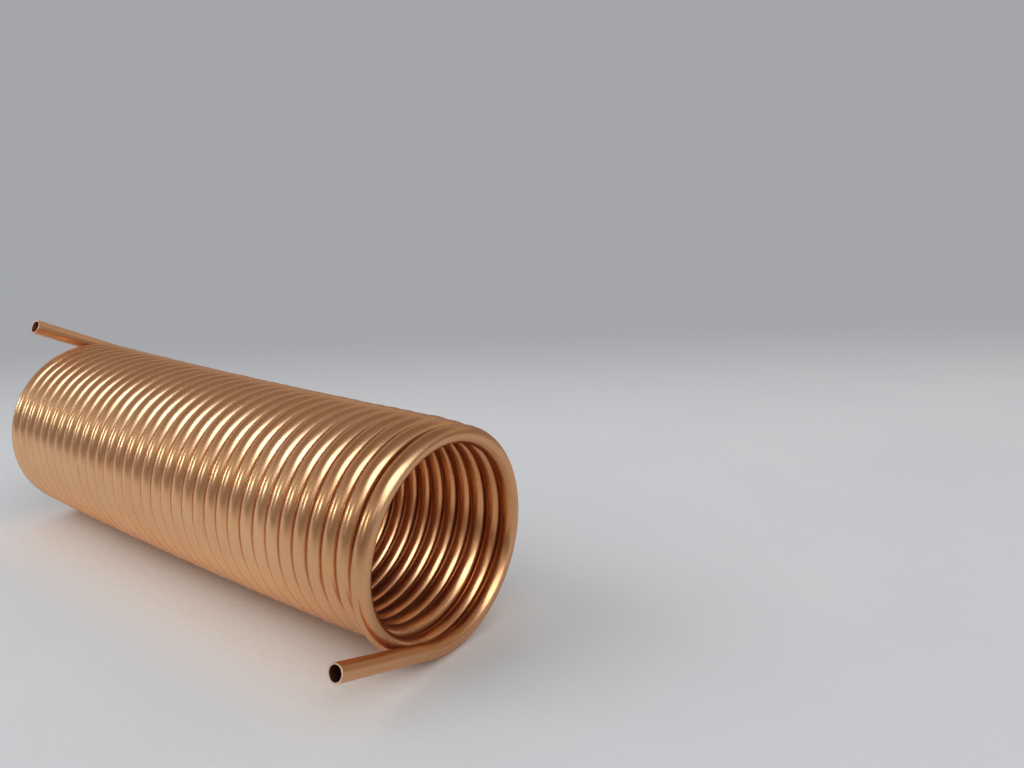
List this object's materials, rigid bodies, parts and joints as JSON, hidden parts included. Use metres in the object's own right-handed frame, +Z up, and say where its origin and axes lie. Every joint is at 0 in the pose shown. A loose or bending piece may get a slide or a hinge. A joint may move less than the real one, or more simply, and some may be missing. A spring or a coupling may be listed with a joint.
{
  "type": "copper tube coil",
  "caption": "Soft copper tube wound into a single-layer open coil, lying on its side, with a straight cut end leaving each end of the winding.",
  "frame": {"origin": "middle of the coil's footprint, on the surface that it lies on", "axes": "+X along the winding's axis towards the turn that stands apart, +Z up, both straight ends pointing to -Y"},
  "size_m": [0.2926, 0.117, 0.117],
  "materials": {
    "copper": "bright drawn copper, smooth and reflective"
  },
  "bodies": {
    "root": {"copper_tube": "copper"}
  },
  "joints": []
}
